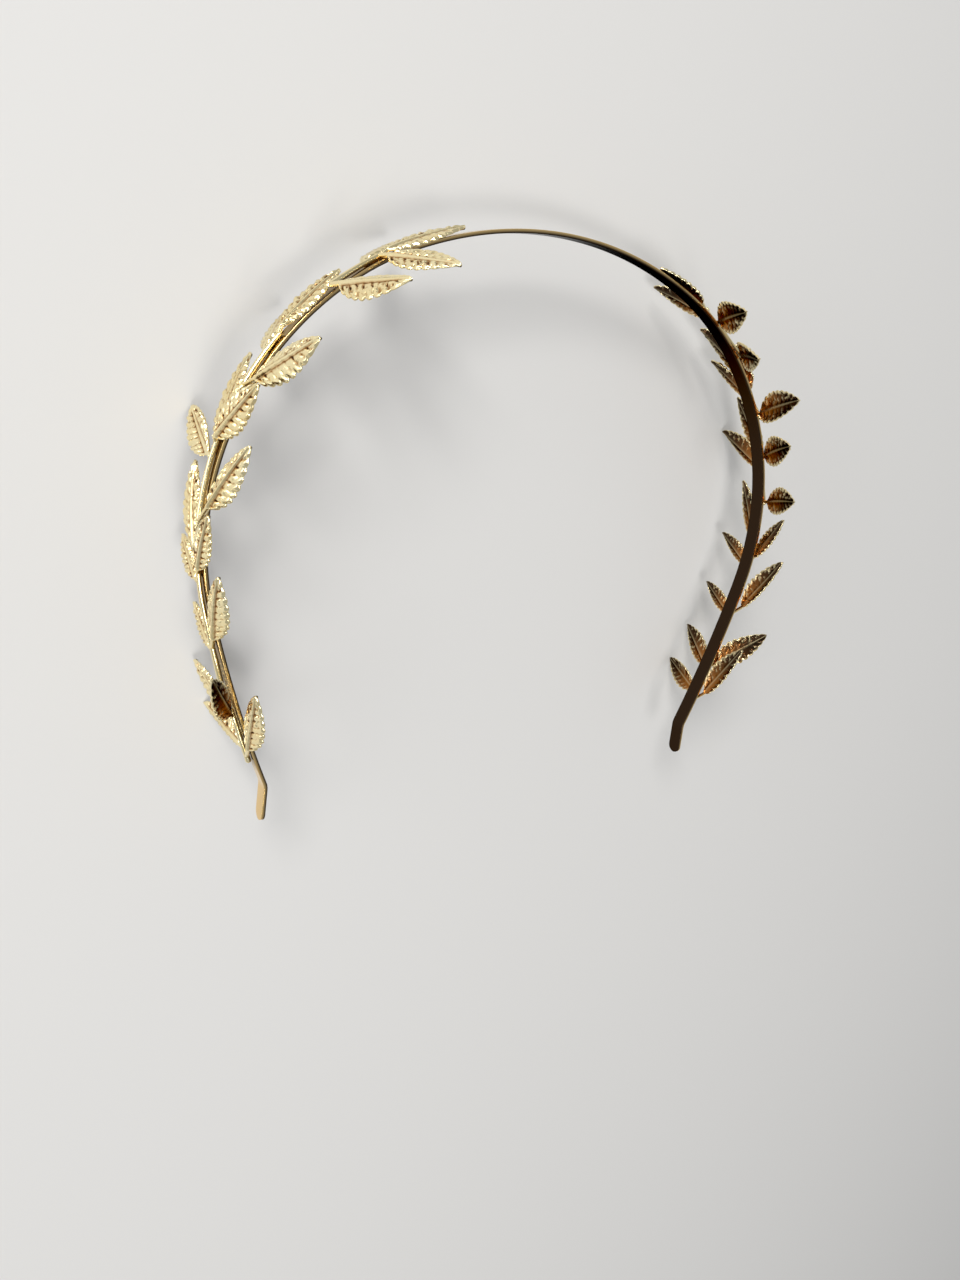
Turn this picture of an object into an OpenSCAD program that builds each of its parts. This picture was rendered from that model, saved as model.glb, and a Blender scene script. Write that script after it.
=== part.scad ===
/* [Band] */
// Width of the flat strip, from its rear edge to its front edge
band_width = 4; // [3:0.1:5]
// Thickness of the strip
band_thickness = 0.9; // [0.7:0.05:1.1]
// Radius of the strip over the crown
crown_radius = 93; // [88:1:98]
// Turn of the strip on each side of the crown, in degrees
crown_turn = 23; // [21:1:25]
// Radius of the strip at the shoulder
shoulder_radius = 68; // [64:1:72]
// Turn of the strip at the shoulder, in degrees
shoulder_turn = 46; // [44:1:48]
// Radius of the strip at the side
side_radius = 60; // [56:1:64]
// Turn of the strip at the side, in degrees
side_turn = 35; // [33:1:37]
// Radius of the nearly straight stretch behind the ear
lower_radius = 300; // [250:10:400]
// Turn of the nearly straight stretch, in degrees
lower_turn = 8; // [7:0.5:9]
// Length of the end tab, past its bend
tab_length = 8; // [6:0.5:10]
// Angle by which the end tab turns outwards
tab_flare = 24; // [15:1:30]
// Radius of the bend before the end tab
bend_radius = 4; // [3:0.5:6]

/* [Sprigs] */
// Radius of a stem at its foot
stem_foot_radius = 0.65; // [0.55:0.05:0.8]
// Radius of a stem where its end leaf begins
stem_top_radius = 0.5; // [0.4:0.05:0.55]
// Gap between a stem and the strip under it
seat_gap = 0.1; // [0.05:0.01:0.2]
// Sides of a stem
stem_sides = 8; // [8:1:12]

/* [Leaves] */
// Width of a leaf as a share of its length
leaf_ratio = 0.38; // [0.34:0.01:0.4]
// Thickness of a leaf's blade
blade_thickness = 0.6; // [0.5:0.05:0.7]
// Height of the midrib over the blade
rib_height = 0.35; // [0.2:0.05:0.5]
// Share of each leaf's own fold that is modelled
fold_share = 1; // [0:0.1:1]
// Height of the swellings between the veins
swell_height = 0.22; // [0.1:0.02:0.3]
// Teeth on each side of a leaf
teeth = 7; // [6:1:9]
// Depth of a tooth as a share of the leaf's half width
tooth_depth = 0.16; // [0.08:0.02:0.24]

/* [Hidden] */

// Sections of half the strip from its crown to its end. Each row: radius, turn
SECTIONS = [
  [crown_radius, crown_turn],
  [shoulder_radius, shoulder_turn],
  [side_radius, side_turn],
  [lower_radius, lower_turn]
];

// Stems. Places are distances along the strip from its crown, and rises are over the strip's outer face.
// Each row: sprig, foot place, top place, foot rise, foot shift towards the front
RIGHT_STEMS = [
  [1, 58, 44.5, 0.4, 1.7],
  [2, 84.3, 70.5, 0.3, 1.2],
  [3, 110.6, 94, 0.3, 1.5],
  [4, 145, 116.5, 0.3, 0.2],
  [5, 165, 151, 0, 0]
];
LEFT_STEMS = [
  [1, 62.6, 45, 0.3, 1.2],
  [2, 81, 71.5, 0.3, 1.2],
  [3, 105, 91, 0.3, 1],
  [4, 145, 116.5, 0.3, 0.2],
  [5, 165, 151, 0, 0]
];

// Leaves. Rise and shift move a leaf over and in front of its stem, swing is from the stem towards the front,
// lift is away from the strip, roll tips the face towards the front, neck is the stalk before the blade and
// fold is the rise of the edges as a share of the blade's half width.
// Each row: sprig, place, rise, shift, swing, lift, roll, length, neck, fold
RIGHT_LEAVES = [
  [1, 45, 0.25, 0, 1.5, 0.6, 10, 19.4, 1.3, -0.08],
  [1, 45.6, 0.15, 0.9, 70.8, -12, 9, 20.3, 2, -0.05],
  [1, 49.4, 0.2, -0.2, -41.5, -2.4, -6, 17, 1, 0],
  [1, 57.8, 0.15, 1.2, 73, -6, 4, 21.4, 2, -0.4],
  [2, 71.2, 0.64, 0.4, -9.5, 0.5, 12, 18.4, 1.3, -0.08],
  [2, 75.5, 0.22, -0.2, -47.5, -5.8, -1, 16, 1.1, 0],
  [2, 83.1, 0.18, 1.9, 56, 0.2, 19, 22, 3, -0.42],
  [3, 94.9, 0.2, -0.2, -16.4, 0.5, 1, 19.3, 1.2, 0],
  [3, 94.6, 0.68, -0.3, 48.4, 4, 30, 18.1, 0.9, -0.28],
  [3, 97.8, 0.15, -0.1, -65, 6, 2, 17.6, 1, 0.31],
  [3, 109.9, 0.15, 1.5, 37.2, -3.4, 15, 21.5, 4, -0.42],
  [4, 116.8, 0.35, -0.2, -22, 0.3, 12, 18.6, 1.8, 0],
  [4, 120.5, 0.25, 0.4, 31.6, 2, 22, 15.2, 1.1, -0.16],
  [4, 122.3, 0.2, -0.2, -59, -2.7, 12, 13.6, 0.9, 0.15],
  [4, 136.6, 0.25, 1.1, 30.4, -2.6, 15, 21.3, 3.4, -0.42],
  [4, 137, 0.3, -0.2, -59.6, -6, 14, 13.6, 1.1, 0],
  [5, 153, 0.27, 0, 38, 12, -40, 19, 1.2, 0.1],
  [5, 153.3, 0.2, -0.2, -58, 4.7, 10, 17.4, 1.2, 0.06],
  [5, 163.4, 0.5, 1.3, 29.2, -10.1, 8, 22, 3.7, -0.33],
  [5, 160.8, 0.2, -0.2, -71.5, 6.4, 16, 17.2, 1.1, -0.42]
];
LEFT_LEAVES = [
  [1, 45.2, 0.25, 0, 4, -0.8, 0, 18.2, 1.4, 0],
  [1, 50.8, 0.48, 0.3, 62.2, -9.3, 33, 21.4, 0.9, -0.14],
  [1, 49.8, 0.2, -0.2, -39.8, 0, -20, 17, 1, 0.1],
  [1, 61.8, 0.5, 0, 64, -23, 24, 21.2, 0.9, -0.26],
  [2, 72.8, 0.45, 1, -27, 1, -10, 21, 1, 0.38],
  [2, 76.8, 0.5, -0.5, -34, -4, 5, 16, 1, 0],
  [2, 79.5, 0.35, 0, 65.4, -10.1, 38, 21.8, 0.9, -0.26],
  [3, 93, 0.2, -0.2, -16, 0.5, 2, 18.5, 1.2, 0],
  [3, 91.7, 0.55, 0.5, 61.6, -21.5, 17, 21.6, 0.9, -0.07],
  [3, 95, 0.15, -0.1, -64, 6, 2, 17.6, 1, 0.31],
  [3, 104.1, 0.4, 0.6, 72.2, -26, 17, 20.8, 1.1, -0.02],
  [4, 116.8, 0.35, -0.2, -22, 0.3, 12, 18.6, 1.8, 0],
  [4, 120.5, 0.25, 0.4, 31.6, 2, 22, 15.2, 1.1, -0.16],
  [4, 122.3, 0.2, -0.2, -59, -2.7, 12, 13.6, 0.9, 0.15],
  [4, 136.6, 0.25, 1.1, 30.4, -2.6, 15, 21.3, 3.4, -0.42],
  [4, 137, 0.3, -0.2, -59.6, -6, 14, 13.6, 1.1, 0],
  [5, 153, 0.27, 0, 38, 12, -40, 19, 1.2, 0.1],
  [5, 153.3, 0.2, -0.2, -58, 4.7, 10, 17.4, 1.2, 0.06],
  [5, 163.4, 0.5, 1.3, 29.2, -10.1, 8, 22, 3.7, -0.33],
  [5, 160.8, 0.2, -0.2, -71.5, 6.4, 16, 17.2, 1.1, -0.42]
];

// Names for the columns of these tables
SPRIG = 0;
FOOT = 1;
TOP = 2;
FOOT_RISE = 3;
FOOT_SHIFT = 4;
PLACE = 1;
RISE = 2;
SHIFT = 3;
SWING = 4;
LIFT = 5;
ROLL = 6;
LENGTH = 7;
NECK = 8;
FOLD = 9;

outer_face = band_thickness / 2;
stem_seat = outer_face + seat_gap;

// Place and heading on the strip: [x, y, heading], from the crown, with the heading turning downwards
function along_arc(p, radius, turn) = [
  p[0] + radius * (sin(p[2] + turn) - sin(p[2])),
  p[1] + radius * (cos(p[2] + turn) - cos(p[2])),
  p[2] + turn
];
function arc_length(section) = section[0] * section[1] * PI / 180;
function on_strip(place, section = 0, p = [0, 0, 0]) =
  section == len(SECTIONS)
    ? [p[0] + place * cos(p[2]), p[1] - place * sin(p[2]), p[2]]
    : place <= arc_length(SECTIONS[section])
      ? along_arc(p, SECTIONS[section][0], place / SECTIONS[section][0] * 180 / PI)
      : on_strip(place - arc_length(SECTIONS[section]), section + 1,
          along_arc(p, SECTIONS[section][0], SECTIONS[section][1]));

// A point given by its place along the strip, its distance in front of the strip's middle and its height
function wrapped(place, front, height) =
  let (p = on_strip(place))
  [p[0] + height * sin(p[2]), p[1] + height * cos(p[2]), front];

// Start of each section of the strip
function section_start(i) =
  i == 0
    ? [0, 0, 0]
    : along_arc(section_start(i - 1), SECTIONS[i - 1][0], SECTIONS[i - 1][1]);
strip_end = section_start(len(SECTIONS));

outer_half = band_width / 2;

// Where the strip's crown lies in the part's frame: the hoop is centred on Y
tab_base = along_arc(strip_end, -bend_radius, -tab_flare);
tab_tip = [
  tab_base[0] + tab_length * cos(tab_base[2]),
  tab_base[1] - tab_length * sin(tab_base[2]),
  tab_base[2]
];
centre_y = (outer_face + tab_tip[1]) / 2;
line_steps = 70;
bend_steps = 4;

// The headpiece lies on its rear leaves, with the front of the band facing up
module at_rest() {
  translate([0, -centre_y, -lowest_tip]) children();
}

// Middle line of half the hoop, from the crown to the end of the tab: [x, y, heading]
function length_to(i) = i == 0 ? 0 : length_to(i - 1) + arc_length(SECTIONS[i - 1]);
strip_length = length_to(len(SECTIONS));
half_line = concat(
  [for (i = [0 : line_steps]) on_strip(strip_length * i / line_steps)],
  [for (i = [1 : bend_steps]) along_arc(strip_end, -bend_radius, -tab_flare * i / bend_steps)],
  [tab_tip]
);
function beside(p, height) = [p[0] + height * sin(p[2]), p[1] + height * cos(p[2])];
function half_outline(height) = [for (p = half_line) beside(p, height)];
function mirrored(points) = [for (p = points) [-p[0], p[1]]];
function reversed(points) = [for (i = [len(points) - 1 : -1 : 0]) points[i]];

module hoop() {
  outer = half_outline(outer_face);
  inner = half_outline(-outer_face);
  linear_extrude(height = band_width, center = true)
    polygon(concat(
      reversed(mirrored(outer)), [for (i = [1 : len(outer) - 1]) outer[i]],
      reversed(inner), [for (i = [1 : len(inner) - 1]) mirrored(inner)[i]]
    ));
}

// What is cut off the end of a tab to make its tip round
module tip_corners() {
  translate([tab_tip[0], tab_tip[1], 0])
    rotate([0, 0, -tab_tip[2]])
      translate([-outer_half, 0, 0])
        rotate([90, 0, 0])
          difference() {
            translate([0, -band_width, -band_thickness])
              cube([band_width, 2 * band_width, 2 * band_thickness]);
            cylinder(d = band_width, h = 3 * band_thickness, center = true, $fn = 64);
          }
}

module band() {
  color("goldenrod") at_rest() difference() {
    hoop();
    tip_corners();
    mirror([1, 0, 0]) tip_corners();
  }
}

// Height of a stem's middle over the strip's middle: a little more at the foot, beside the next sprig's tip
function stem_height(stem, share) =
  stem_seat + stem_radius(share) + stem[FOOT_RISE] * pow(max(0, 1 - 1.6 * share), 2);
function stem_radius(share) = stem_foot_radius + (stem_top_radius - stem_foot_radius) * share;
function stem_shift(stem, share) = stem[FOOT_SHIFT] * pow(1 - share, 2);
function stem_share(stem, place) = (stem[FOOT] - place) / (stem[FOOT] - stem[TOP]);

stem_parts = 8;

// Points round a stem at one share of its length, all in the plane square to the strip
function stem_ring(stem, share) =
  [for (k = [0 : stem_sides - 1])
    let (turn = 360 * k / stem_sides)
    wrapped(
      stem[FOOT] - share * (stem[FOOT] - stem[TOP]),
      stem_shift(stem, share) + stem_radius(share) * cos(turn),
      stem_height(stem, share) + stem_radius(share) * sin(turn)
    )];

// One stretch of a stem, between two of its rings
module stem_stretch(stem, i) {
  hull()
    polyhedron(
      points = concat(stem_ring(stem, i / stem_parts), stem_ring(stem, (i + 1) / stem_parts)),
      faces = concat(
        [[for (k = [0 : stem_sides - 1]) k], [for (k = [stem_sides - 1 : -1 : 0]) stem_sides + k]],
        [for (k = [0 : stem_sides - 1])
          let (next = (k + 1) % stem_sides)
          [next, k, stem_sides + k, stem_sides + next]]
      )
    );
}

module stem_rod(stem) {
  for (i = [0 : stem_parts - 1]) stem_stretch(stem, i);
}

// Outline of a blade: its half width at a share of the blade's length, as a share of the largest half width
function outline(along) = pow(sin(180 * pow(along, 0.85)), 0.7) * (1 - 0.12 * along);

// Half widths of a leaf's neck and of its tip
neck_half = 0.45;
tip_half = 0.2;
// Size of a leaf's foot, inside its stem, as a share of the neck's
foot_share = 0.5;
// Where the first tooth starts and where each one peaks, as shares of a tooth
tooth_start = 0.35;
tooth_peak = 0.62;

// Stations along a leaf. Each row: distance from its foot, half width, 1 at a tooth's peak and 0 elsewhere
function stations(leaf) =
  let (blade = leaf[LENGTH] - leaf[NECK], half = blade * leaf_ratio / 2)
  concat(
    [[0, foot_share * neck_half, 0], [leaf[NECK], neck_half, 0]],
    [for (i = [0 : teeth - 1]) for (peak = [0, 1])
      let (
        along = (i + tooth_start + peak * tooth_peak) / (teeth + tooth_start),
        toothed = 1 + tooth_depth * (peak - 0.5)
      )
      [leaf[NECK] + blade * along, half * outline(along) * toothed, peak]],
    [[leaf[LENGTH], tip_half, 0]]
  );

// Axes of a leaf, each as [towards the crown, towards the front, outwards]
function leaf_way(leaf) = [
  cos(leaf[LIFT]) * cos(leaf[SWING]), cos(leaf[LIFT]) * sin(leaf[SWING]), sin(leaf[LIFT])
];
function flat_face(leaf) = [
  -sin(leaf[LIFT]) * cos(leaf[SWING]), -sin(leaf[LIFT]) * sin(leaf[SWING]), cos(leaf[LIFT])
];
function leaf_face(leaf) =
  cos(leaf[ROLL]) * flat_face(leaf) + sin(leaf[ROLL]) * cross(flat_face(leaf), leaf_way(leaf));
function leaf_side(leaf) = cross(leaf_face(leaf), leaf_way(leaf));

// Points round a leaf at one station. Each row: share of the half width, half thickness, rib, swell
RING = [
  [-1, 0.6, 0, 0], [-0.5, 1, 0, 1], [0, 1, 1, 0], [0.5, 1, 0, 1], [1, 0.6, 0, 0],
  [1, -0.6, 0, 0], [0, -1, 0, 0], [-1, -0.6, 0, 0]
];
ring_size = len(RING);

function leaf_point(leaf, stem, station, ring) =
  let (
    across = ring[0] * station[1],
    size = station[0] == 0 ? foot_share : 1,
    up = fold_share * leaf[FOLD] * station[1] * abs(ring[0])
       + size * ring[1] * blade_thickness / 2
       + size * ring[2] * rib_height * (1 - 0.5 * station[0] / leaf[LENGTH])
       + ring[3] * swell_height * station[2],
    offset = leaf_way(leaf) * station[0] + leaf_side(leaf) * across + leaf_face(leaf) * up,
    share = min(1, stem_share(stem, leaf[PLACE])),
    clear = min(1, station[0] / leaf[NECK])
  )
  wrapped(
    leaf[PLACE] - offset[0],
    stem_shift(stem, share) + leaf[SHIFT] * clear + offset[1],
    stem_height(stem, share) + leaf[RISE] * clear + offset[2]
  );

// Height of a leaf's rearmost point, with the strip's middle at zero
function lowest(leaf, stem) =
  min([for (row = stations(leaf)) for (ring = RING) leaf_point(leaf, stem, row, ring)[2]]);

lowest_tip = min(concat(
  [for (leaf = RIGHT_LEAVES) lowest(leaf, RIGHT_STEMS[leaf[SPRIG] - 1])],
  [for (leaf = LEFT_LEAVES) lowest(leaf, LEFT_STEMS[leaf[SPRIG] - 1])]
));

function ring_faces(i) = [
  for (j = [0 : ring_size - 1])
    let (a = i * ring_size + j, b = i * ring_size + (j + 1) % ring_size)
    for (face = [[a, b, b + ring_size], [a, b + ring_size, a + ring_size]]) face
];
function cap(i, way) = [
  for (j = [1 : ring_size - 2])
    way > 0 ? [i * ring_size, i * ring_size + j, i * ring_size + j + 1]
            : [i * ring_size, i * ring_size + j + 1, i * ring_size + j]
];

module leaf_blade(leaf, stem) {
  rows = stations(leaf);
  last = len(rows) - 1;
  polyhedron(
    points = [for (row = rows) for (ring = RING) leaf_point(leaf, stem, row, ring)],
    faces = concat(
      [for (i = [0 : last - 1]) each ring_faces(i)],
      cap(0, -1),
      cap(last, 1)
    )
  );
}

// A cast sprig: a stem with its leaves
module sprig(number, stems, leaves) {
  stem = stems[number - 1];
  union() {
    stem_rod(stem);
    for (leaf = leaves) if (leaf[SPRIG] == number) leaf_blade(leaf, stem);
  }
}

module left_sprig(number) {
  color("gold") at_rest() sprig(number, LEFT_STEMS, LEFT_LEAVES);
}

module right_sprig(number) {
  color("gold") at_rest() mirror([1, 0, 0]) sprig(number, RIGHT_STEMS, RIGHT_LEAVES);
}

band();
right_sprig(1);  // right_sprig_1
right_sprig(2);  // right_sprig_2
right_sprig(3);  // right_sprig_3
right_sprig(4);  // right_sprig_4
right_sprig(5);  // right_sprig_5
left_sprig(1);  // left_sprig_1
left_sprig(2);  // left_sprig_2
left_sprig(3);  // left_sprig_3
left_sprig(4);  // left_sprig_4
left_sprig(5);  // left_sprig_5
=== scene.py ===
import math
from collections import namedtuple

import bpy
import numpy as np
from mathutils import Matrix, Vector


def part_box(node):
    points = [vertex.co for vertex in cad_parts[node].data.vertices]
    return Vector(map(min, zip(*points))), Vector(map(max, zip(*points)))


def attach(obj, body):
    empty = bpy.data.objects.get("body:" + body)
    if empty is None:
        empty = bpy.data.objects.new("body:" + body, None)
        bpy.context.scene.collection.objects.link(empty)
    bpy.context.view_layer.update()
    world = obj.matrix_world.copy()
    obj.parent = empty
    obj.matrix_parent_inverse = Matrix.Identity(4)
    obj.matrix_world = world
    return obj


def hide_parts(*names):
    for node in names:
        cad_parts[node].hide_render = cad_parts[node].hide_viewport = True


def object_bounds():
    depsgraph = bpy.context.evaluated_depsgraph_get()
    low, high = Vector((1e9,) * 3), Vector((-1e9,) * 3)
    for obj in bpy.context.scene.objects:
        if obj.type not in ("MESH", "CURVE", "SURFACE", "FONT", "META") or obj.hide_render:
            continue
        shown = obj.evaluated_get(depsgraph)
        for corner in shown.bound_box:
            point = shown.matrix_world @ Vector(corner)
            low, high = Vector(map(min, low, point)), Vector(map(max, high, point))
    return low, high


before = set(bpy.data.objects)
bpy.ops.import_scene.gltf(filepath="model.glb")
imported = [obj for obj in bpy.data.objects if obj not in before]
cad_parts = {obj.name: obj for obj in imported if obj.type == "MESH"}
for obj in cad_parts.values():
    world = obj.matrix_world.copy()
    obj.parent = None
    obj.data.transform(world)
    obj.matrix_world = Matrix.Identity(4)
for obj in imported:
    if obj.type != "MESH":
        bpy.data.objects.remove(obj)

cad_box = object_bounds()

MM = 0.001

# The band, in mm and degrees
BAND_WIDTH = 4.0
BAND_THICKNESS = 0.9
OUTER_FACE = BAND_THICKNESS / 2
# Sections of half the strip from its crown: radius, turn
SECTIONS = [(93, 23), (68, 46), (60, 35), (300, 8)]
BEND_RADIUS = 4.0
TAB_FLARE = 24.0
TAB_LENGTH = 8.0
# Half of the strip with the bend before its tab
HOOP = SECTIONS + [(-BEND_RADIUS, -TAB_FLARE)]
# Radius of the strip's corners, and fall of its outer face from the middle to the corners
CORNER = 0.15
CROWNING = 0.03

# Stems and leaves, as in the source: places from the crown and other lengths in mm, angles in degrees
Stem = namedtuple("Stem", "sprig foot top rise shift")
Leaf = namedtuple("Leaf", "sprig place rise shift swing lift roll length neck fold")
RIGHT_STEMS = [
    Stem(1, 58, 44.5, 0.4, 1.7),
    Stem(2, 84.3, 70.5, 0.3, 1.2),
    Stem(3, 110.6, 94, 0.3, 1.5),
    Stem(4, 145, 116.5, 0.3, 0.2),
    Stem(5, 165, 151, 0, 0),
]
LEFT_STEMS = [
    Stem(1, 62.6, 45, 0.3, 1.2),
    Stem(2, 81, 71.5, 0.3, 1.2),
    Stem(3, 105, 91, 0.3, 1),
    Stem(4, 145, 116.5, 0.3, 0.2),
    Stem(5, 165, 151, 0, 0),
]
LOWER_LEAVES = [
    Leaf(4, 116.8, 0.35, -0.2, -22, 0.3, 12, 18.6, 1.8, 0),
    Leaf(4, 120.5, 0.25, 0.4, 31.6, 2, 22, 15.2, 1.1, -0.16),
    Leaf(4, 122.3, 0.2, -0.2, -59, -2.7, 12, 13.6, 0.9, 0.15),
    Leaf(4, 136.6, 0.25, 1.1, 30.4, -2.6, 15, 21.3, 3.4, -0.42),
    Leaf(4, 137, 0.3, -0.2, -59.6, -6, 14, 13.6, 1.1, 0),
    Leaf(5, 153, 0.27, 0, 38, 12, -40, 19, 1.2, 0.1),
    Leaf(5, 153.3, 0.2, -0.2, -58, 4.7, 10, 17.4, 1.2, 0.06),
    Leaf(5, 163.4, 0.5, 1.3, 29.2, -10.1, 8, 22, 3.7, -0.33),
    Leaf(5, 160.8, 0.2, -0.2, -71.5, 6.4, 16, 17.2, 1.1, -0.42),
]
RIGHT_LEAVES = [
    Leaf(1, 45, 0.25, 0, 1.5, 0.6, 10, 19.4, 1.3, -0.08),
    Leaf(1, 45.6, 0.15, 0.9, 70.8, -12, 9, 20.3, 2, -0.05),
    Leaf(1, 49.4, 0.2, -0.2, -41.5, -2.4, -6, 17, 1, 0),
    Leaf(1, 57.8, 0.15, 1.2, 73, -6, 4, 21.4, 2, -0.4),
    Leaf(2, 71.2, 0.64, 0.4, -9.5, 0.5, 12, 18.4, 1.3, -0.08),
    Leaf(2, 75.5, 0.22, -0.2, -47.5, -5.8, -1, 16, 1.1, 0),
    Leaf(2, 83.1, 0.18, 1.9, 56, 0.2, 19, 22, 3, -0.42),
    Leaf(3, 94.9, 0.2, -0.2, -16.4, 0.5, 1, 19.3, 1.2, 0),
    Leaf(3, 94.6, 0.68, -0.3, 48.4, 4, 30, 18.1, 0.9, -0.28),
    Leaf(3, 97.8, 0.15, -0.1, -65, 6, 2, 17.6, 1, 0.31),
    Leaf(3, 109.9, 0.15, 1.5, 37.2, -3.4, 15, 21.5, 4, -0.42),
] + LOWER_LEAVES
LEFT_LEAVES = [
    Leaf(1, 45.2, 0.25, 0, 4, -0.8, 0, 18.2, 1.4, 0),
    Leaf(1, 50.8, 0.48, 0.3, 62.2, -9.3, 33, 21.4, 0.9, -0.14),
    Leaf(1, 49.8, 0.2, -0.2, -39.8, 0, -20, 17, 1, 0.1),
    Leaf(1, 61.8, 0.5, 0, 64, -23, 24, 21.2, 0.9, -0.26),
    Leaf(2, 72.8, 0.45, 1, -27, 1, -10, 21, 1, 0.38),
    Leaf(2, 76.8, 0.5, -0.5, -34, -4, 5, 16, 1, 0),
    Leaf(2, 79.5, 0.35, 0, 65.4, -10.1, 38, 21.8, 0.9, -0.26),
    Leaf(3, 93, 0.2, -0.2, -16, 0.5, 2, 18.5, 1.2, 0),
    Leaf(3, 91.7, 0.55, 0.5, 61.6, -21.5, 17, 21.6, 0.9, -0.07),
    Leaf(3, 95, 0.15, -0.1, -64, 6, 2, 17.6, 1, 0.31),
    Leaf(3, 104.1, 0.4, 0.6, 72.2, -26, 17, 20.8, 1.1, -0.02),
] + LOWER_LEAVES

# Stems, in mm
SEAT_GAP = 0.1
STEM_FOOT_RADIUS = 0.65
STEM_TOP_RADIUS = 0.5
# A foot's rise is gone after the stem's length divided by this
RISE_FADES = 1.6

# The blade: width as a share of its length, the rest in mm
LEAF_RATIO = 0.38
BLADE_THICKNESS = 0.6
NECK_HALF = 0.45
NECK_ABOVE = 0.6
NECK_BELOW = 0.34
TIP_HALF = 0.2
LEAST_HALF = 0.03
# Outline without lobes: how far the widest place leans to the neck, how full it is, its taper to the tip
OUTLINE_LEAN = 0.85
OUTLINE_FULLNESS = 0.7
OUTLINE_TAPER = 0.12
# Share of the blade's length in which the neck passes into it, and its thinning towards the tip
NECK_BLEND = 0.07
THINNING = (1.0, 0.75)
# How much sooner than the skin the relief grows from the edge
RELIEF_SOONER = 1.6

# Lobes along each side: depth as a share of the half width, how much that varies, the peak's place in a
# lobe, its roundness, the height in a lobe at which the blade has its plain width, and the phase at the neck
LOBES = 9
LOBE_DEPTH = 0.2
DEPTH_WANDER = 0.25
LOBE_PEAK = 0.62
LOBE_ROUNDNESS = 0.65
LOBE_MIDDLE = 0.55
FIRST_PHASE = 0.65

# Midrib and the groove beside it, in mm: each pair is the value at the neck and at the tip
RIB_HALF = (0.5, 0.22)
RIB_HEIGHT = (0.46, 0.2)
RIB_SHARPNESS = 1.4
UNDER_RIB_HEIGHT = 0.3
GROOVE_HALF = (0.17, 0.13)
GROOVE_DEPTH = 0.15
# Distance of the groove from the midrib's middle, in half widths of the midrib
GROOVE_AT = 1.45

# Relief of the blade, in mm
RELIEF_TOP = 0.5
SWELLING_HEIGHT = 0.56
CELL_DEPTH = 0.34
# Heights of the domes: the level of the plain blade, and the ranges of the creases and of the cells below
PLAIN_LEVEL = 0.3
CREASE_RANGE = (0.08, 0.42)
CELL_RANGE = (0.15, 0.6)
# Swellings start at this share of the groove's distance, are full after a further share of the half width,
# and fade towards the edge. Their start is worked out for no less than a least half width, in mm
SWELLINGS_FROM = 0.8
SWELLINGS_FULL = 0.3
SWELLINGS_FADE = (0.84, 1)
LEAST_SWOLLEN_HALF = 0.5
# Slant of the rows of swellings, where a row starts, and its wander, as shares of a lobe
ROW_LEAN = 1.15
ROW_START = 0.05
ROW_WANDER = 0.05
# Half width of the blade at which the slant is full, and ranges of the waves of the wander
FULL_LEAN_HALF = 1.6
WANDER_WAVES = 3
WANDER_ALONG = (0.8, 2.2)
WANDER_ACROSS = (-2, 2)
# Lumps of the casting: their waves, with pitches in radians a mm
LUMP_WAVES = 7
LUMP_PITCH = (2.6, 7.0)
GRAINY_LUMPS = 0.12
PLAIN_LUMPS = 0.05
UNDER_LUMPS = 1.4
# Pits beside the midrib, drawn for this many rows on each side: half sizes, and ranges of the distance
# from the groove and of the strength
PIT_DEPTH = 0.4
PIT_ROWS = 16
PIT_LONG = 0.3
PIT_WIDE = 0.27
PIT_OUT = (0.15, 0.6)
PIT_STRENGTH = (0.15, 1.25)
# Pits scattered over the grainy half: half size, and ranges of the place along and across
SCATTERED_PITS = 9
SCATTERED_SIZE = 0.25
SCATTERED_ALONG = (0.12, 0.85)
SCATTERED_ACROSS = (0.3, 0.8)
SCATTERED_STRENGTH = (0.5, 1.0)
# Half widths of the blade over which a feature grows to its full height
SWELLINGS_GROW = (0.3, 1.4)
PITS_GROW = (1.0, 1.6)
GROOVE_GROWS = (0.7, 1.3)
GROOVE_DARKENS = (0.9, 1.5)
# How dark the features above are
GROOVE_DARK = 0.75
PIT_DARK = 1.2
CREASE_DARK = 0.55
# How much the veins below lighten the painted shade, how they narrow, and the midrib's share of their light
# and sharpness
VEIN_LIGHT = 0.55
CREASE_LIGHT_POWER = 1.5
UNDER_RIB_LIGHT = 0.55
UNDER_RIB_SHARPNESS = 3
# Share of the half width in which the underside's painted shade fades to the edge, and the shares of the
# blade's length between which the painted warm reflection at its base fades
EDGE_FADE = 0.2
WARM_REFLECTION_RANGE = (0.05, 0.75)
# Range of a random angle, in radians
ANY_ANGLE = (0, 6.28)

# Swellings of the two halves of a blade: places across it as shares of its half width, then how far each
# one strays along and across, and the ranges of its size along and across and of its height
Swellings = namedtuple("Swellings", "across stray_along stray_across long wide high")
GRAINY_HALF = Swellings((0.32, 0.6, 0.87), 0.2, 0.07, (0.46, 0.64), (0.19, 0.26), (0.6, 1.15))
PLAIN_HALF = Swellings((0.4, 0.78), 0.08, 0.05, (0.55, 0.66), (0.3, 0.38), (0.75, 1.0))

# Points of the meshes
BAND_ROWS = 330
BAND_TIP_ROWS = 14
FACE_POINTS = 9
CORNER_POINTS = 6
STEM_RING = 20
STEM_ROWS = 44
STEM_END_ROWS = 8
NECK_ROWS = 8
BLADE_ROWS = 106
POINTS_ABOVE = 41
POINTS_BELOW = 25

# Places in the part's frame, in mm, from the frame's own band and box
BOX_MARGIN = 0.01
band_low, band_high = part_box("band")
FLOOR_OFFSET = band_low.z / MM + BAND_WIDTH / 2
CENTRE_Y = OUTER_FACE - band_high.y / MM
HALF_SPAN = cad_box[1][0] / MM - BOX_MARGIN


def smooth(low, high, value):
    """0 below low and 1 above high, with a soft step between them."""
    t = np.clip((value - low) / (high - low), 0, 1)
    return t * t * (3 - 2 * t)


def between(start, end, share):
    return start + (end - start) * share


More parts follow.
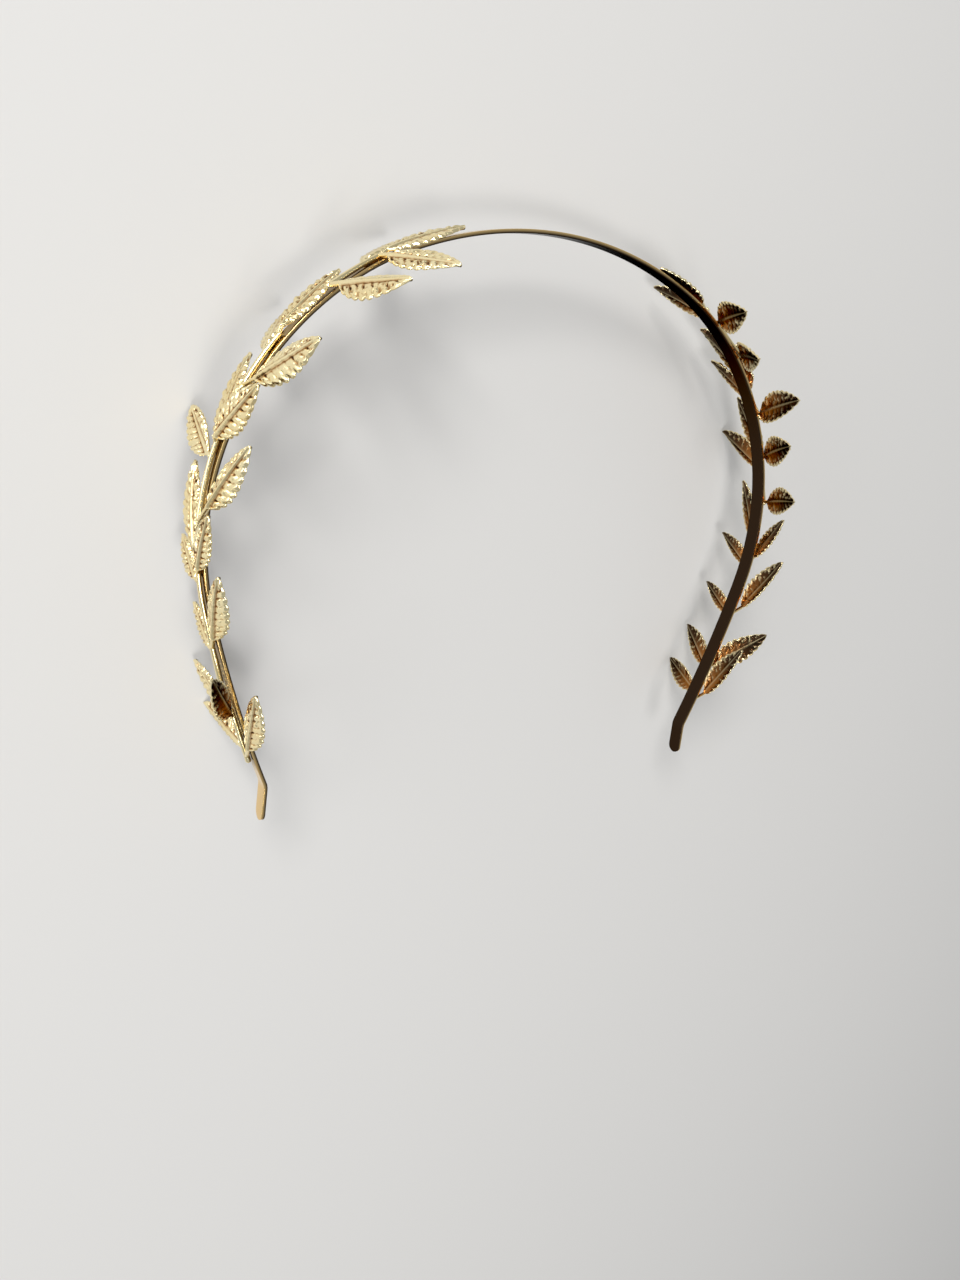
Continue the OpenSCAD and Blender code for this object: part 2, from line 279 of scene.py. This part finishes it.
def bell(distance, half, sharpness=1.0):
    """1 at no distance, falling away on both sides over about a half width."""
    return np.exp(-sharpness * (distance / half) ** 2)


def rounded(distance, radius, least=0.0):
    """Share of the full size at a distance from a round end or edge."""
    inward = 1 - np.clip(distance / radius, 0, 1)
    return np.sqrt(np.clip(1 - inward ** 2, least, 1))


def arc_length(radius, turn):
    return radius * math.radians(turn)


def arc_from(start, radius, turn):
    x, y, heading = start
    a, b = np.radians(heading), np.radians(heading + turn)
    return x + radius * (np.sin(b) - np.sin(a)), y + radius * (np.cos(b) - np.cos(a)), heading + turn


def on_line(sections, place):
    """Position and heading at distances from the crown along arcs and the straight after them."""
    line = [np.zeros_like(place)] * 3
    start, begin = (0.0, 0.0, 0.0), 0.0
    for radius, turn in sections:
        arc = arc_from(start, radius, np.degrees((place - begin) / radius))
        line = [np.where(place >= begin, new, old) for new, old in zip(arc, line)]
        start = arc_from(start, radius, turn)
        begin += arc_length(radius, turn)
    x, y, heading = start
    past = place - begin
    straight = x + past * np.cos(np.radians(heading)), y - past * np.sin(np.radians(heading)), heading
    x, y, heading = (np.where(past > 0, new, old) for new, old in zip(straight, line))
    return x, y, np.radians(heading)


def placed(line, front, height, side):
    """Points in the part's frame, in metres, no farther out than the widest leaf in the frame."""
    x, y, heading = line
    out = np.minimum(x + height * np.sin(heading), HALF_SPAN)
    up = y + height * np.cos(heading) - CENTRE_Y
    return np.stack([side * out, up, front + FLOOR_OFFSET], -1) * MM


# A closed shell, and the values of its points that the material reads: hollows, painted shade and a painted
# warm reflection
Shell = namedtuple("Shell", "points faces hollow rear warm")


def loft_faces(rows, ring, flip=False):
    """Faces of a closed shell of rows, each a ring of points, with a cap at each end."""
    faces = []
    for i in range(rows - 1):
        for j in range(ring):
            k = (j + 1) % ring
            faces.append((i * ring + j, i * ring + k, (i + 1) * ring + k, (i + 1) * ring + j))
    faces.append(tuple(range(ring))[::-1])
    faces.append(tuple((rows - 1) * ring + j for j in range(ring)))
    return [face[::-1] for face in faces] if flip else faces


def make_piece(name, shells, material, node):
    """One object of one or more shells, which stands in for a node of the frame."""
    points = np.concatenate([shell.points for shell in shells])
    faces, start = [], 0
    for shell in shells:
        faces += [tuple(point + start for point in face) for face in shell.faces]
        start += len(shell.points)
    mesh = bpy.data.meshes.new(name)
    mesh.from_pydata(points.tolist(), [], faces)
    # Hollows, painted shade and painted warm reflection, which the material reads
    for key in ("hollow", "rear", "warm"):
        values = np.concatenate([getattr(shell, key) for shell in shells])
        layer = mesh.attributes.new(key, "FLOAT", "POINT")
        layer.data.foreach_set("value", values.astype(np.float32))
    mesh.polygons.foreach_set("use_smooth", [True] * len(mesh.polygons))
    mesh.materials.append(material)
    mesh.validate()
    piece = bpy.data.objects.new(name, mesh)
    bpy.context.collection.objects.link(piece)
    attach(piece, "root")
    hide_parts(node)


# Materials
def grey(value):
    return (value, value, value)


class Paint:
    """A metal material, and short calls that add nodes to it."""

    def __init__(self, name):
        self.material = bpy.data.materials.new(name)
        self.material.use_nodes = True
        self.nodes = self.material.node_tree.nodes
        self.links = self.material.node_tree.links
        self.shader = self.nodes["Principled BSDF"]
        self.shader.inputs["Metallic"].default_value = 1.0
        self.place = self.nodes.new("ShaderNodeTexCoord").outputs["Object"]

    def noise(self, scale, detail, roughness=0.5, stretch=None):
        node = self.nodes.new("ShaderNodeTexNoise")
        node.inputs["Scale"].default_value = scale
        node.inputs["Detail"].default_value = detail
        node.inputs["Roughness"].default_value = roughness
        source = self.place
        if stretch:
            mapping = self.nodes.new("ShaderNodeMapping")
            mapping.inputs["Scale"].default_value = stretch
            self.links.new(source, mapping.inputs["Vector"])
            source = mapping.outputs["Vector"]
        self.links.new(source, node.inputs["Vector"])
        return node.outputs["Fac"]

    def ramp(self, value, positions, levels=(0.0, 1.0)):
        """Greys between two levels, which are reached at two positions."""
        node = self.nodes.new("ShaderNodeValToRGB")
        for element, position, level in zip(node.color_ramp.elements, positions, levels):
            element.position = position
            element.color = (*grey(level), 1)
        self.links.new(value, node.inputs["Fac"])
        return node.outputs["Color"]

    def mix(self, kind, factor, first, second):
        node = self.nodes.new("ShaderNodeMix")
        node.data_type = "RGBA"
        node.blend_type = kind
        for key, value in (("Factor", factor), ("A", first), ("B", second)):
            socket = node.inputs[key]
            if isinstance(value, (int, float)):
                socket.default_value = value
            elif isinstance(value, tuple):
                socket.default_value = (*value, 1)
            else:
                self.links.new(value, socket)
        return node.outputs["Result"]

    def attribute(self, key):
        node = self.nodes.new("ShaderNodeAttribute")
        node.attribute_name = key
        return node.outputs["Fac"]

    def bump(self, height, strength, distance):
        node = self.nodes.new("ShaderNodeBump")
        node.inputs["Strength"].default_value = strength
        node.inputs["Distance"].default_value = distance
        self.links.new(height, node.inputs["Height"])
        return node.outputs["Normal"]

    def set(self, key, value):
        self.links.new(value, self.shader.inputs[key])


# Patches of tarnish: noise scale, range of the noise, and their colour as a share of the bright one
TARNISH_SCALE = 90
TARNISH_RANGE = (0.3, 0.7)
TARNISH = (0.97, 0.9, 0.78)
# Breaks in the dark of the hollows: noise scale, range of the noise, least dark that is left
BREAKS_SCALE = 700
BREAKS_RANGE = (0.25, 0.7)
BREAKS_LEAST = 0.6
# Depths over which a hollow takes the crease's colour and then the deep one
CREASE_DEPTHS = (0.05, 0.55)
DEEP_DEPTHS = (0.42, 0.78)
# Marks of polishing: noise scale, range of the noise, and least and most roughness as shares of the given
POLISH_SCALE = 260
POLISH_RANGE = (0.25, 0.75)
POLISH_ROUGHNESS = (0.75, 1.35)
HOLLOW_ROUGHNESS = 0.25
# Specular tint left in the painted shade, so that its reflections are dimmed too
PAINTED_SHADE_GLANCE = 0.12
# Height of the grain, in metres
GRAIN_HEIGHT = 0.0001


def gold(name, bright, crease, deep, back, warm_reflection_colour, roughness, grain_scale, grain_strength, streaks):
    """Polished plating with grain and darker hollows, and painted shade where the points carry it: a painted
    dark reflection with a painted warm reflection at the leaves' base.
    """
    paint = Paint(name)
    tarnished = tuple(level * share for level, share in zip(bright, TARNISH))
    patches = paint.ramp(paint.noise(TARNISH_SCALE, detail=3), TARNISH_RANGE)
    colour = paint.mix("MIX", patches, bright, tarnished)
    # Painted shade: where the points carry it, a dark colour stands in for a dark reflection, warm at the
    # leaves' base
    painted_shade_colour = paint.mix("MIX", paint.attribute("warm"), back, warm_reflection_colour)
    colour = paint.mix("MIX", paint.attribute("rear"), colour, painted_shade_colour)
    breaks = paint.ramp(paint.noise(BREAKS_SCALE, detail=2), BREAKS_RANGE, (BREAKS_LEAST, 1.0))
    hollow = paint.mix("MULTIPLY", 1.0, paint.attribute("hollow"), breaks)
    colour = paint.mix("MIX", paint.ramp(hollow, CREASE_DEPTHS), colour, crease)
    colour = paint.mix("MIX", paint.ramp(hollow, DEEP_DEPTHS), colour, deep)
    paint.set("Base Color", colour)
    # The painted shade also tints the specular reflection dark
    paint.set("Specular Tint", paint.mix("MIX", paint.attribute("rear"), grey(1.0), grey(PAINTED_SHADE_GLANCE)))

    levels = [roughness * share for share in POLISH_ROUGHNESS]
    polish = paint.ramp(paint.noise(POLISH_SCALE, detail=4), POLISH_RANGE, levels)
    paint.set("Roughness", paint.mix("ADD", HOLLOW_ROUGHNESS, polish, paint.attribute("hollow")))
    grain = paint.noise(grain_scale, detail=3, roughness=0.6, stretch=streaks)
    paint.set("Normal", paint.bump(grain, grain_strength, GRAIN_HEIGHT))
    return paint.material


# The back colours paint a dark reflection on the leaves' undersides, with a painted warm reflection at their
# base
sprig_gold = gold(
    "sprig_gold", bright=(1.0, 0.885, 0.55), crease=(0.46, 0.23, 0.075), deep=(0.04, 0.018, 0.008),
    back=(0.05, 0.026, 0.013), warm_reflection_colour=(0.4, 0.16, 0.04),
    roughness=0.17, grain_scale=2600, grain_strength=0.4, streaks=None,
)
# The back colours paint a dark reflection on the inner face, and painted shade on the outer face beside the
# stems
band_gold = gold(
    "band_gold", bright=(0.93, 0.68, 0.32), crease=(0.32, 0.15, 0.05), deep=(0.1, 0.05, 0.02),
    back=(0.04, 0.023, 0.013), warm_reflection_colour=(0.04, 0.023, 0.013),
    roughness=0.13, grain_scale=900, grain_strength=0.12, streaks=(1.0, 1.0, 6.0),
)

# The band's piece
# Places between which painted shade darkens the outer face beside the stems and clears again, and how dark
# it is
SHADE_STARTS = (42, 52)
SHADE_ENDS = (164, 168)
STEM_SHADE = 0.45
# Angle round a tip at which its last row lies, in degrees: 0 is the very tip
LAST_TIP_ANGLE = 8


def rounded_corner(front, height, first_angle):
    """A quarter turn as (front, height). Angles go from straight out of the outer face towards the front."""
    angle = np.radians(first_angle + np.linspace(0, 90, CORNER_POINTS))
    return np.stack([front + CORNER * np.sin(angle), height + CORNER * np.cos(angle)], -1)


def band_section(half_width):
    """Rounded section as (front, height), going round from the back edge of the outer face."""
    flat = half_width - CORNER
    across = np.linspace(-1, 1, FACE_POINTS)
    outer_face = np.stack([flat * across, OUTER_FACE - CROWNING * across ** 2], -1)
    inner_face = np.stack([-flat * across, np.full(FACE_POINTS, -OUTER_FACE)], -1)
    outer_corner = OUTER_FACE - CROWNING - CORNER
    inner_corner = CORNER - OUTER_FACE
    return np.concatenate([
        outer_face,
        rounded_corner(flat, outer_corner, 0)[1:],
        rounded_corner(flat, inner_corner, 90),
        inner_face[1:],
        rounded_corner(-flat, inner_corner, 180)[1:],
        rounded_corner(-flat, outer_corner, 270)[:-1],
    ])


def build_band():
    tip = BAND_WIDTH / 2
    hoop_length = sum(arc_length(*arc) for arc in HOOP) + TAB_LENGTH
    tip_angle = np.radians(np.linspace(90, LAST_TIP_ANGLE, BAND_TIP_ROWS))
    half = np.concatenate([
        np.linspace(0, hoop_length - tip, BAND_ROWS)[:-1],
        hoop_length - tip * (1 - np.cos(tip_angle)),
    ])
    places = np.concatenate([-half[:0:-1], half])
    rows = []
    for place in places:
        ring = band_section(tip * rounded(hoop_length - abs(place), tip))
        line = on_line(HOOP, np.array([abs(place)]))
        rows.append(placed(line, ring[:, 0], ring[:, 1], 1 if place >= 0 else -1))
    points = np.concatenate(rows)

    # Painted shade: the inner face and the inner corners get a painted dark reflection, and the outer face a
    # little painted shade beside the stems
    inner = ring[:, 1] < 0
    outer = ring[:, 1] > OUTER_FACE - 2 * CROWNING
    from_crown = np.abs(places)
    shade_beside_stem = smooth(*SHADE_STARTS, from_crown) * (1 - smooth(*SHADE_ENDS, from_crown))
    rear = inner + STEM_SHADE * outer * shade_beside_stem[:, None]
    zeros = np.zeros(len(points))
    shell = Shell(points, loft_faces(len(rows), len(ring)), zeros, rear.reshape(-1), zeros)
    make_piece("band_strip", [shell], band_gold, "band")


# Stems
# Share of the radius by which a stem is uneven, and its pitch in radians a mm
UNEVEN = 0.04
UNEVEN_PITCH = 1.3
# Square of the least share of the radius at an end
END_LEAST = 0.02
# Square root of the first row's share of the way through a round end
FIRST_END_ROW = 0.05
# How dark the painted shade on the underside is, and the height as a share of the radius below which it
# starts
UNDERSIDE_SHADE = 0.5
UNDERSIDE_TOP = -0.3


def stem_radius(share):
    return between(STEM_FOOT_RADIUS, STEM_TOP_RADIUS, share)


def stem_height(stem, share):
    rise = stem.rise * np.maximum(0, 1 - RISE_FADES * share) ** 2
    return OUTER_FACE + SEAT_GAP + stem_radius(share) + rise


def stem_shift(stem, share):
    return stem.shift * (1 - share) ** 2


def build_stem(stem, side):
    length = stem.foot - stem.top
    foot_end, top_end = STEM_FOOT_RADIUS / length, STEM_TOP_RADIUS / length
    # Rows gather towards the rounded ends
    near_end = np.linspace(FIRST_END_ROW, 1, STEM_END_ROWS) ** 2
    share = np.concatenate([
        near_end * foot_end,
        np.linspace(foot_end, 1 - top_end, STEM_ROWS)[1:-1],
        1 - near_end[::-1] * top_end,
    ])[:, None]
    place = stem.foot - share * length
    uneven = 1 - UNEVEN * (1 + np.sin(place * UNEVEN_PITCH + stem.sprig)) / 2
    ends = rounded(share, foot_end, END_LEAST) * rounded(1 - share, top_end, END_LEAST)
    radius = stem_radius(share) * ends * uneven
    angle = np.linspace(0, 2 * math.pi, STEM_RING, endpoint=False)
    front = stem_shift(stem, share) + radius * np.cos(angle)
    height = stem_height(stem, share) + radius * np.sin(angle)
    points = placed(on_line(SECTIONS, place), front, height, side).reshape(-1, 3)
    zeros = np.zeros(len(points))
    # Painted shade on the underside of the stem
    painted_underside_shade = np.tile(UNDERSIDE_SHADE * (np.sin(angle) < UNDERSIDE_TOP), len(share))
    return Shell(points, loft_faces(len(share), STEM_RING, flip=side < 0), zeros, painted_underside_shade, zeros)


# Leaves
# Seeds of a leaf's random values: steps from sprig to sprig and from the right side to the left
SPRIG_SEEDS = 100
LEFT_SEEDS = 50

# Points of a leaf, in rows along it: each row goes across above and back below. In mm are the blade's
# length, the distance along, the half width and the distance out from the midrib. The share is of the
# blade's length, and the phase counts lobes. Across is -1 and 1 at the two edges, and edgeward is its size.
# Upper says which points are above, and tip is the share of the full size that the rounded tip leaves
Grid = namedtuple("Grid", "blade along share phase across edgeward half_width out upper tip")
# What the relief gives: heights above and below the blade's middle in mm, and values for the material: how
# hollow the upper face is, and the painted shade of the underside
Relief = namedtuple("Relief", "above below hollow rear")


def outline(share):
    """Half width of a blade without lobes, nearly 1 at its widest."""
    return np.sin(math.pi * share ** OUTLINE_LEAN) ** OUTLINE_FULLNESS * (1 - OUTLINE_TAPER * share)


def lobe(phase):
    """0 in the notch and 1 at the peak, which leans towards the tip."""
    t = phase - np.floor(phase)
    before = 0.5 * t / LOBE_PEAK
    after = 0.5 + 0.5 * (t - LOBE_PEAK) / (1 - LOBE_PEAK)
    return np.abs(np.sin(math.pi * np.where(t < LOBE_PEAK, before, after)))


def leaf_grid(leaf, random):
    """The flat form of a leaf, with its lobes."""
    blade = leaf.length - leaf.neck
    along = np.concatenate([
        np.linspace(0, leaf.neck, NECK_ROWS)[:-1],
        leaf.neck + blade * np.linspace(0, 1, BLADE_ROWS),
    ])[:, None]
    share = np.clip((along - leaf.neck) / blade, 0, 1)

    # Rounded lobes, with notches that vary a little in depth
    phase = FIRST_PHASE + share * (LOBES + 1 - FIRST_PHASE)
    depth = LOBE_DEPTH * (1 + DEPTH_WANDER * np.sin(random.uniform(*ANY_ANGLE) + share * LOBES))
    lobed = 1 + depth * (lobe(phase) ** LOBE_ROUNDNESS - LOBE_MIDDLE)
    tip = rounded(leaf.length - along, 2 * TIP_HALF)
    least = np.where(share > 0.5, TIP_HALF, NECK_HALF)
    half_width = np.maximum(blade * LEAF_RATIO / 2 * outline(share) * lobed, least)
    half_width = np.maximum(half_width * tip, LEAST_HALF)

    # Points gather towards the edges
    above = np.sin(np.linspace(-1, 1, POINTS_ABOVE) * math.pi / 2)
    below = np.sin(np.linspace(1, -1, POINTS_BELOW) * math.pi / 2)[1:-1]
    across = np.tile(np.concatenate([above, below]), (len(along), 1))
    upper = np.arange(across.shape[1]) < POINTS_ABOVE
    edgeward = np.abs(across)
    return Grid(blade, along, share, phase, across, edgeward, half_width, edgeward * half_width, upper, tip)


def slanting_rows(grid, inside, random):
    """Rows of swellings passed at each point, along lines that lean towards the tip and wander a little."""
    wander = sum(
        np.sin(
            grid.along * random.uniform(*WANDER_ALONG)
            + grid.across * random.uniform(*WANDER_ACROSS)
            + random.uniform(*ANY_ANGLE)
        )
        for _ in range(WANDER_WAVES)
    )
    lean = ROW_LEAN * (1 - grid.edgeward) * np.minimum(1, grid.half_width / FULL_LEAN_HALF)
    return grid.phase + lean + ROW_WANDER * wander * inside


def swellings(half, random):
    """Swellings on half a blade: row, place across, size along, size across, height."""
    return [
        (
            row + random.uniform(-half.stray_along, half.stray_along),
            across + random.uniform(-half.stray_across, half.stray_across),
            random.uniform(*half.long), random.uniform(*half.wide), random.uniform(*half.high),
        )
        for row in range(1, LOBES + 3) for across in half.across
    ]


def domes(table, rows_at, edgeward):
    """Height of the highest dome at each point: 0 in the creases between them."""
    high = np.zeros(rows_at.shape)
    for row, across, long, wide, height in table:
        from_row = (rows_at - row - ROW_START - 0.5) / long
        from_middle = from_row ** 2 + ((edgeward - across) / wide) ** 2
        high = np.maximum(high, height * (1 - from_middle))
    return high


def casting_lumps(grid, random):
    """Small lumps of the casting: waves that cross the blade in all directions."""
    lumps = 0
    for _ in range(LUMP_WAVES):
        direction = random.uniform(0, math.pi)
        pitch = random.uniform(*LUMP_PITCH)
        way = grid.along * math.cos(direction) + grid.across * grid.half_width * math.sin(direction)
        lumps = lumps + np.sin(way * pitch + random.uniform(*ANY_ANGLE)) / pitch
    return lumps


def pits(grid, rows_at, groove_at, grainy_side, random):
    """A pit at the inner end of each crease, and others scattered over the grainy half."""
    grown = smooth(*PITS_GROW, grid.half_width)
    crease_at = rows_at + 0.5 - ROW_START
    from_crease = np.abs(crease_at % 1 - 0.5) * grid.blade / LOBES
    row_number = np.floor(crease_at).astype(int) % PIT_ROWS
    size, out = (
        np.where(grid.across > 0, table[0][row_number], table[1][row_number])
        for table in random.rand(2, 2, PIT_ROWS)
    )
    from_pit = grid.out - groove_at - between(*PIT_OUT, out)
    pit = bell(from_crease, PIT_LONG) * bell(from_pit, PIT_WIDE) * between(*PIT_STRENGTH, size)
    for _ in range(SCATTERED_PITS):
        along = (grid.share - random.uniform(*SCATTERED_ALONG)) * grid.blade
        sideways = (grid.across - random.uniform(*SCATTERED_ACROSS) * grainy_side) * grid.half_width
        spot = bell(along, SCATTERED_SIZE) * bell(sideways, SCATTERED_SIZE)
        pit = pit + random.uniform(*SCATTERED_STRENGTH) * spot
    return np.clip(pit * grown, 0, 1)


def leaf_relief(grid, grainy_side, random):
    """Relief of both faces of a leaf. The grainy side is -1 or 1, as across is."""
    rib_half = between(*RIB_HALF, grid.share)
    rib = bell(grid.out, rib_half, RIB_SHARPNESS)
    groove_at = GROOVE_AT * rib_half
    groove = bell(grid.out - groove_at, between(*GROOVE_HALF, grid.share))

    # Swellings in slanting rows, with creases between them, from the groove nearly to the edge
    start = SWELLINGS_FROM * groove_at / np.maximum(grid.half_width, LEAST_SWOLLEN_HALF)
    inside = smooth(0, SWELLINGS_FULL, grid.edgeward - start) * (1 - smooth(*SWELLINGS_FADE, grid.edgeward))
    on_blade = inside * smooth(*SWELLINGS_GROW, grid.half_width)
    rows_at = slanting_rows(grid, inside, random)
    grainy = grid.across * grainy_side > 0
    swelling = np.where(
        grainy,
        domes(swellings(GRAINY_HALF, random), rows_at, grid.edgeward),
        domes(swellings(PLAIN_HALF, random), rows_at, grid.edgeward),
    )
    lumps = casting_lumps(grid, random) * np.where(grainy, GRAINY_LUMPS, PLAIN_LUMPS) * on_blade
    pit = pits(grid, rows_at, groove_at, grainy_side, random)
    crease = (1 - smooth(*CREASE_RANGE, swelling)) * on_blade

    # Above, the relief levels off at its top. Below, the veins stand out between hollow cells
    raised = between(*RIB_HEIGHT, grid.share) * rib + lumps
    raised = raised + SWELLING_HEIGHT * (swelling - PLAIN_LEVEL) * on_blade
    raised = np.where(raised > 0, RELIEF_TOP * np.tanh(raised / RELIEF_TOP), raised)
    sunk = GROOVE_DEPTH * groove * smooth(*GROOVE_GROWS, grid.half_width) + PIT_DEPTH * pit
    cell = smooth(*CELL_RANGE, swelling) * on_blade
    raised_below = UNDER_RIB_HEIGHT * rib + UNDER_LUMPS * lumps - CELL_DEPTH * cell

    # The neck is round. The blade has a rounded edge, and thins out to a rounded tip
    skin = rounded(1 - grid.edgeward, np.minimum(BLADE_THICKNESS / 2 / grid.half_width, 1))
    body = skin * BLADE_THICKNESS / 2 * between(*THINNING, grid.share)
    off_edge = np.minimum(1, skin * RELIEF_SOONER)
    in_blade = smooth(0, NECK_BLEND, grid.share)
    neck = rounded(1 - grid.edgeward, 1)
    above = between(NECK_ABOVE * neck, body + (raised - sunk) * off_edge, in_blade) * grid.tip
    below = between(NECK_BELOW * neck, body + raised_below * off_edge, in_blade) * grid.tip

    # The material's values: how hollow the upper face is, and the underside's painted shade, a painted dark
    # reflection that is lighter on its veins
    dark = GROOVE_DARK * groove * smooth(*GROOVE_DARKENS, grid.half_width)
    dark = dark + PIT_DARK * pit + CREASE_DARK * crease
    hollow = np.where(grid.upper, np.clip(dark, 0, 1) * in_blade, 0)
    rib_below = bell(grid.out, rib_half, UNDER_RIB_SHARPNESS)
    vein = np.maximum(crease ** CREASE_LIGHT_POWER, UNDER_RIB_LIGHT * rib_below)
    rear = np.where(grid.upper, 0, 1 - VEIN_LIGHT * vein) * smooth(0, EDGE_FADE, 1 - grid.edgeward)
    return Relief(above, below, hollow, rear)


def leaf_directions(leaf):
    """Unit vectors along a leaf, across it and out of its upper face."""
    lift, swing, roll = (math.radians(angle) for angle in (leaf.lift, leaf.swing, leaf.roll))
    along = np.array([
        math.cos(lift) * math.cos(swing), math.cos(lift) * math.sin(swing), math.sin(lift),
    ])
    level = np.array([
        -math.sin(lift) * math.cos(swing), -math.sin(lift) * math.sin(swing), math.cos(lift),
    ])
    out = math.cos(roll) * level + math.sin(roll) * np.cross(level, along)
    return along, np.cross(out, along), out


def build_leaf(leaf, stem, side, seed):
    """A leaf as a closed shell. Its seed also decides which half is the grainy one."""
    random = np.random.RandomState(seed)
    grid = leaf_grid(leaf, random)
    relief = leaf_relief(grid, 1 if seed % 2 else -1, random)
    out_of_face = np.where(grid.upper, relief.above, -relief.below) + leaf.fold * grid.out
    distances = (grid.along, grid.across * grid.half_width, out_of_face)
    offset = sum(
        distance[..., None] * direction for distance, direction in zip(distances, leaf_directions(leaf))
    )

    # The neck leaves the stem at its middle, and the leaf's own rise and shift are reached at the blade
    share = min(1, (stem.foot - leaf.place) / (stem.foot - stem.top))
    clear = np.minimum(1, grid.along / leaf.neck)
    front = stem_shift(stem, share) + leaf.shift * clear + offset[..., 1]
    height = stem_height(stem, share) + leaf.rise * clear + offset[..., 2]
    points = placed(on_line(SECTIONS, leaf.place - offset[..., 0]), front, height, side).reshape(-1, 3)
    faces = loft_faces(*grid.across.shape, flip=side > 0)
    # A painted warm reflection at the base of the underside, fading towards the tip
    warm = np.broadcast_to(1 - smooth(*WARM_REFLECTION_RANGE, grid.share), grid.across.shape)
    return Shell(points, faces, relief.hollow.reshape(-1), relief.rear.reshape(-1), warm.reshape(-1))


def build_sprig(name, number, stems, leaves, side):
    stem = stems[number - 1]
    first_seed = SPRIG_SEEDS * number + (LEFT_SEEDS if side > 0 else 0)
    shells = [build_stem(stem, side)]
    for i, leaf in enumerate(leaves):
        if leaf.sprig == number:
            shells.append(build_leaf(leaf, stem, side, first_seed + i))
    make_piece(name + "_cast", shells, sprig_gold, name)


build_band()
for number in range(1, len(RIGHT_STEMS) + 1):
    build_sprig(f"right_sprig_{number}", number, RIGHT_STEMS, RIGHT_LEAVES, -1)
    build_sprig(f"left_sprig_{number}", number, LEFT_STEMS, LEFT_LEAVES, 1)

# Floor and light, in metres and watts
FLOOR_HALF = 6.0
FLOOR_COLOUR = (0.64, 0.632, 0.62, 1)
FLOOR_ROUGHNESS = 0.9
# Softboxes that face the middle of the floor: name, place, width, height, power, colour
SOFTBOXES = [
    ("key", (-0.6, 0.7, 0.75), 0.42, 0.42, 8.5, (1.0, 0.985, 0.96)),
    ("overhead", (-0.25, -0.35, 1.1), 0.4, 0.3, 4.8, (1.0, 0.99, 0.97)),
    ("side", (-0.95, 0.1, 0.3), 0.9, 0.5, 3.0, (0.98, 0.99, 1.0)),
]
SKY_COLOUR = (0.96, 0.98, 1.0, 1)
SKY_STRENGTH = 0.4


def plain_floor():
    mesh = bpy.data.meshes.new("floor")
    corners = [(x * FLOOR_HALF, y * FLOOR_HALF, 0) for x, y in ((-1, -1), (1, -1), (1, 1), (-1, 1))]
    mesh.from_pydata(corners, [], [(0, 1, 2, 3)])
    floor = bpy.data.objects.new("floor", mesh)
    bpy.context.collection.objects.link(floor)
    material = bpy.data.materials.new("floor_paint")
    material.use_nodes = True
    shader = material.node_tree.nodes["Principled BSDF"]
    shader.inputs["Base Color"].default_value = FLOOR_COLOUR
    shader.inputs["Roughness"].default_value = FLOOR_ROUGHNESS
    mesh.materials.append(material)


def softbox(name, place, width, height, power, colour):
    light = bpy.data.lights.new(name, "AREA")
    light.shape = "RECTANGLE"
    light.size, light.size_y = width, height
    light.energy = power
    light.color = colour
    lamp = bpy.data.objects.new(name, light)
    lamp.location = place
    lamp.rotation_mode = "QUATERNION"
    lamp.rotation_quaternion = (-Vector(place)).to_track_quat("-Z", "Y")
    bpy.context.collection.objects.link(lamp)


def pale_sky():
    world = bpy.data.worlds.new("studio")
    world.use_nodes = True
    background = world.node_tree.nodes["Background"]
    background.inputs["Color"].default_value = SKY_COLOUR
    background.inputs["Strength"].default_value = SKY_STRENGTH
    bpy.context.scene.world = world


plain_floor()
for row in SOFTBOXES:
    softbox(*row)
pale_sky()

# Camera, in the frame of the headpiece as worn: angles in degrees, place in mm from the crown
YAW, PITCH, ROLL = -33.46, 17.21, 6.96
CAMERA_PLACE = (-131.76, -184.81, -23.59)
FOCAL_PIXELS = 962.0
LONG_SIDE_PIXELS = 1280.0
SENSOR_WIDTH = 36.0
NEAREST, FARTHEST = 0.01, 30


def worn_to_part(v):
    return Vector((v[0], v[2], -v[1]))


def make_camera():
    data = bpy.data.cameras.new("camera")
    data.sensor_width = SENSOR_WIDTH
    data.lens = FOCAL_PIXELS / LONG_SIDE_PIXELS * SENSOR_WIDTH
    data.clip_start, data.clip_end = NEAREST, FARTHEST
    camera = bpy.data.objects.new("camera", data)
    bpy.context.collection.objects.link(camera)
    yaw, pitch, roll = (math.radians(angle) for angle in (YAW, PITCH, ROLL))
    back = Vector((math.sin(yaw) * math.cos(pitch), -math.cos(yaw) * math.cos(pitch), math.sin(pitch)))
    right = (-back).cross(Vector((0, 0, 1))).normalized()
    up = right.cross(-back)
    right, up = math.cos(roll) * right + math.sin(roll) * up, -math.sin(roll) * right + math.cos(roll) * up
    rotation = Matrix([worn_to_part(v) for v in (right, up, back)]).transposed()
    place = (worn_to_part(CAMERA_PLACE) + Vector((0, -CENTRE_Y, FLOOR_OFFSET))) * MM
    camera.matrix_world = Matrix.Translation(place) @ rotation.to_4x4()
    bpy.context.scene.camera = camera


make_camera()
bpy.context.scene.view_settings.view_transform = "Standard"
